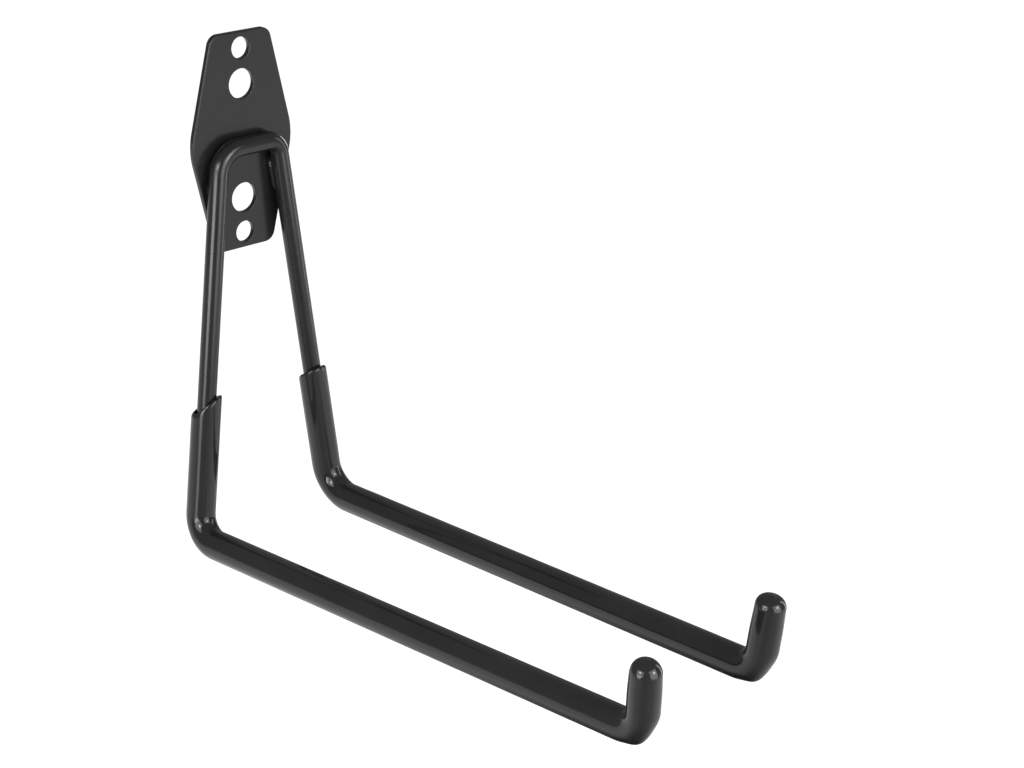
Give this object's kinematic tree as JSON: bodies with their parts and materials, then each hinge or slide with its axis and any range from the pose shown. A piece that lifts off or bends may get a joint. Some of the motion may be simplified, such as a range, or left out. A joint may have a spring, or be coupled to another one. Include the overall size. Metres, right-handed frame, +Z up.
{
  "type": "wall-mounted bike rack",
  "caption": "Wall-mounted bicycle rack: a drilled steel plate carries one bent bar whose spread arms reach out from the wall in soft sleeves and end in upturned tips.",
  "frame": {"origin": "middle of the plate's back face, on the wall", "axes": "+Y into the wall and -Y along the arms away from it, +X to the right of someone who faces the wall, +Z up"},
  "size_m": [0.0866, 0.276, 0.2218],
  "materials": {
    "powder_coat": "satin black powder coat",
    "dipped_vinyl": "glossy black dipped vinyl"
  },
  "bodies": {
    "root": {"back_plate": "powder_coat", "hook_rod": "powder_coat", "left_inner_weld": "powder_coat", "left_outer_weld": "powder_coat", "right_inner_weld": "powder_coat", "right_outer_weld": "powder_coat", "left_sleeve": "dipped_vinyl", "right_sleeve": "dipped_vinyl"}
  },
  "joints": []
}
